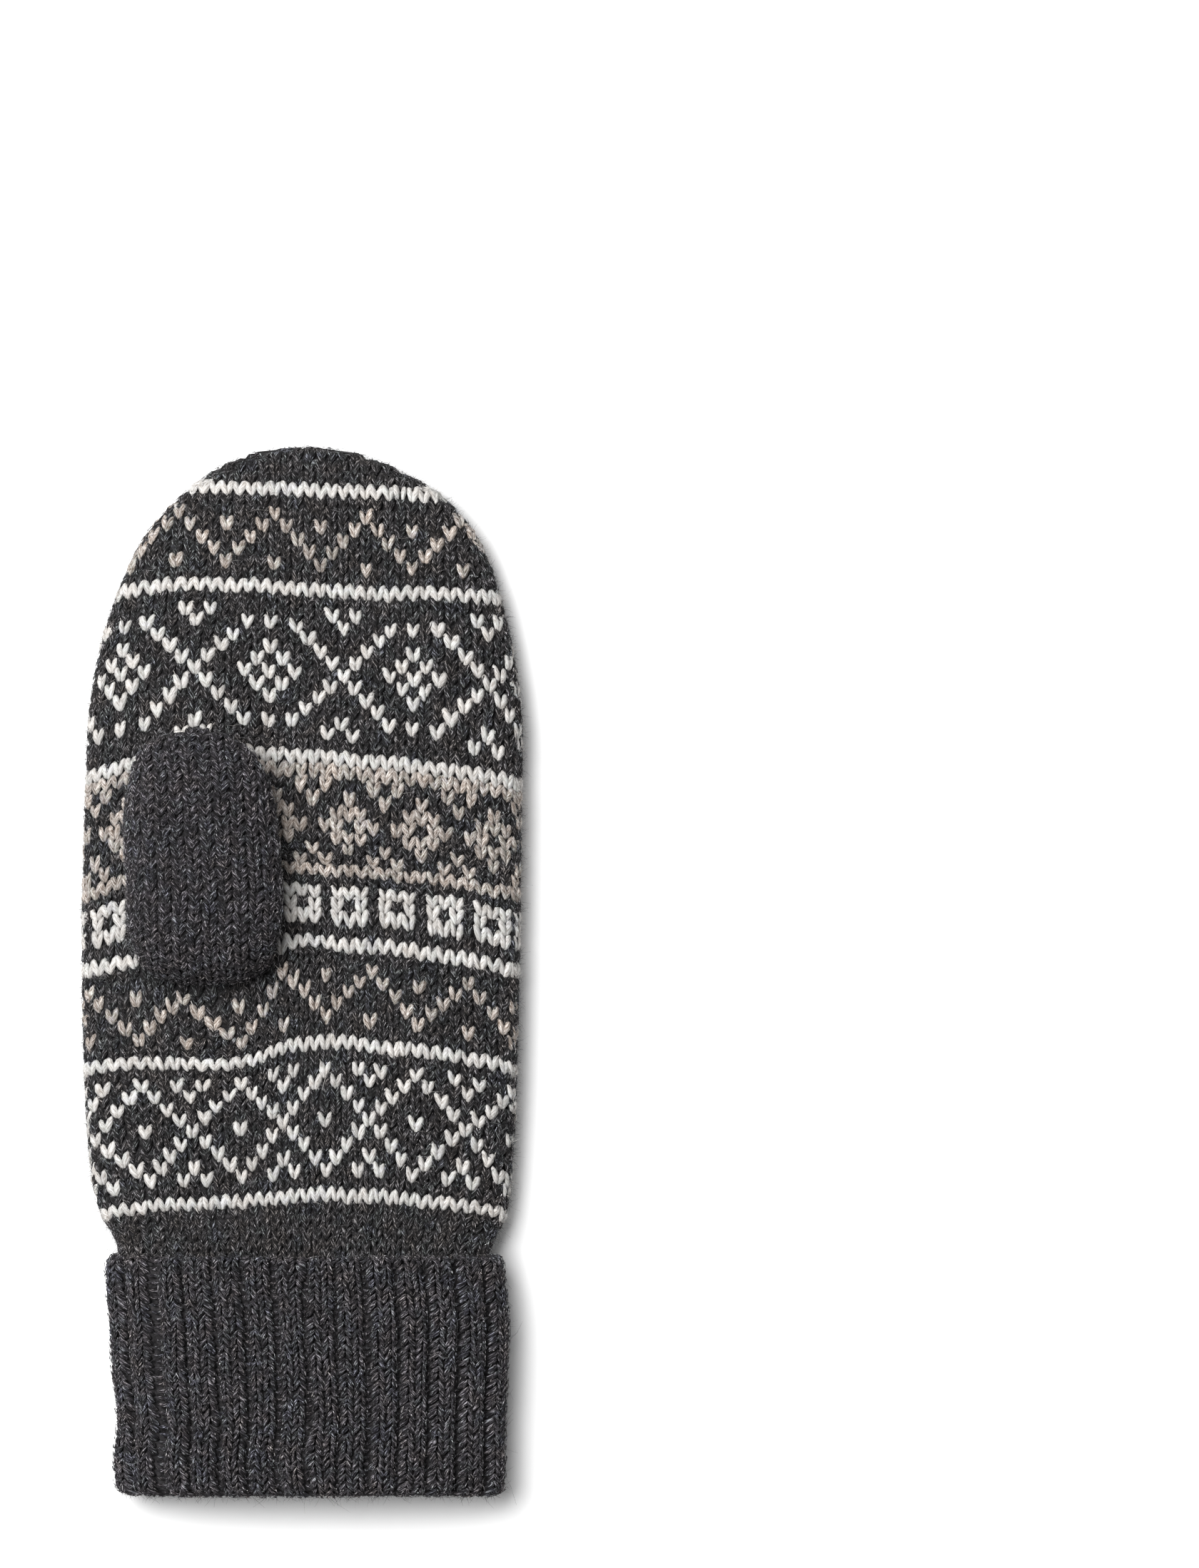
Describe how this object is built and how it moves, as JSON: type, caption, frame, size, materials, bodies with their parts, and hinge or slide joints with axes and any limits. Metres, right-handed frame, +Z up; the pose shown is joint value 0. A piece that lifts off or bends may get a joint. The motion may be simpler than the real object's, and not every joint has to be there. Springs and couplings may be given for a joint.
{
  "type": "jacquard mitten",
  "caption": "Left-hand knitted wool mitten lying palm up: patterned stockinette hand, plain thumb tube on the palm and a turned-up ribbed cuff, open at the wrist.",
  "frame": {"origin": "on the surface that the mitten lies on, under the middle of its length and width", "axes": "+Z up from the back of the hand to the palm, +Y from the wrist opening to the fingertips, +X across the palm away from the thumb's side"},
  "size_m": [0.106, 0.255, 0.0334],
  "materials": {
    "patterned_wool": "matt knitted wool, charcoal heather with off-white and beige jacquard",
    "charcoal_wool": "matt knitted wool, charcoal heather"
  },
  "bodies": {
    "root": {"hand": "patterned_wool", "thumb": "charcoal_wool", "cuff": "charcoal_wool"}
  },
  "joints": []
}
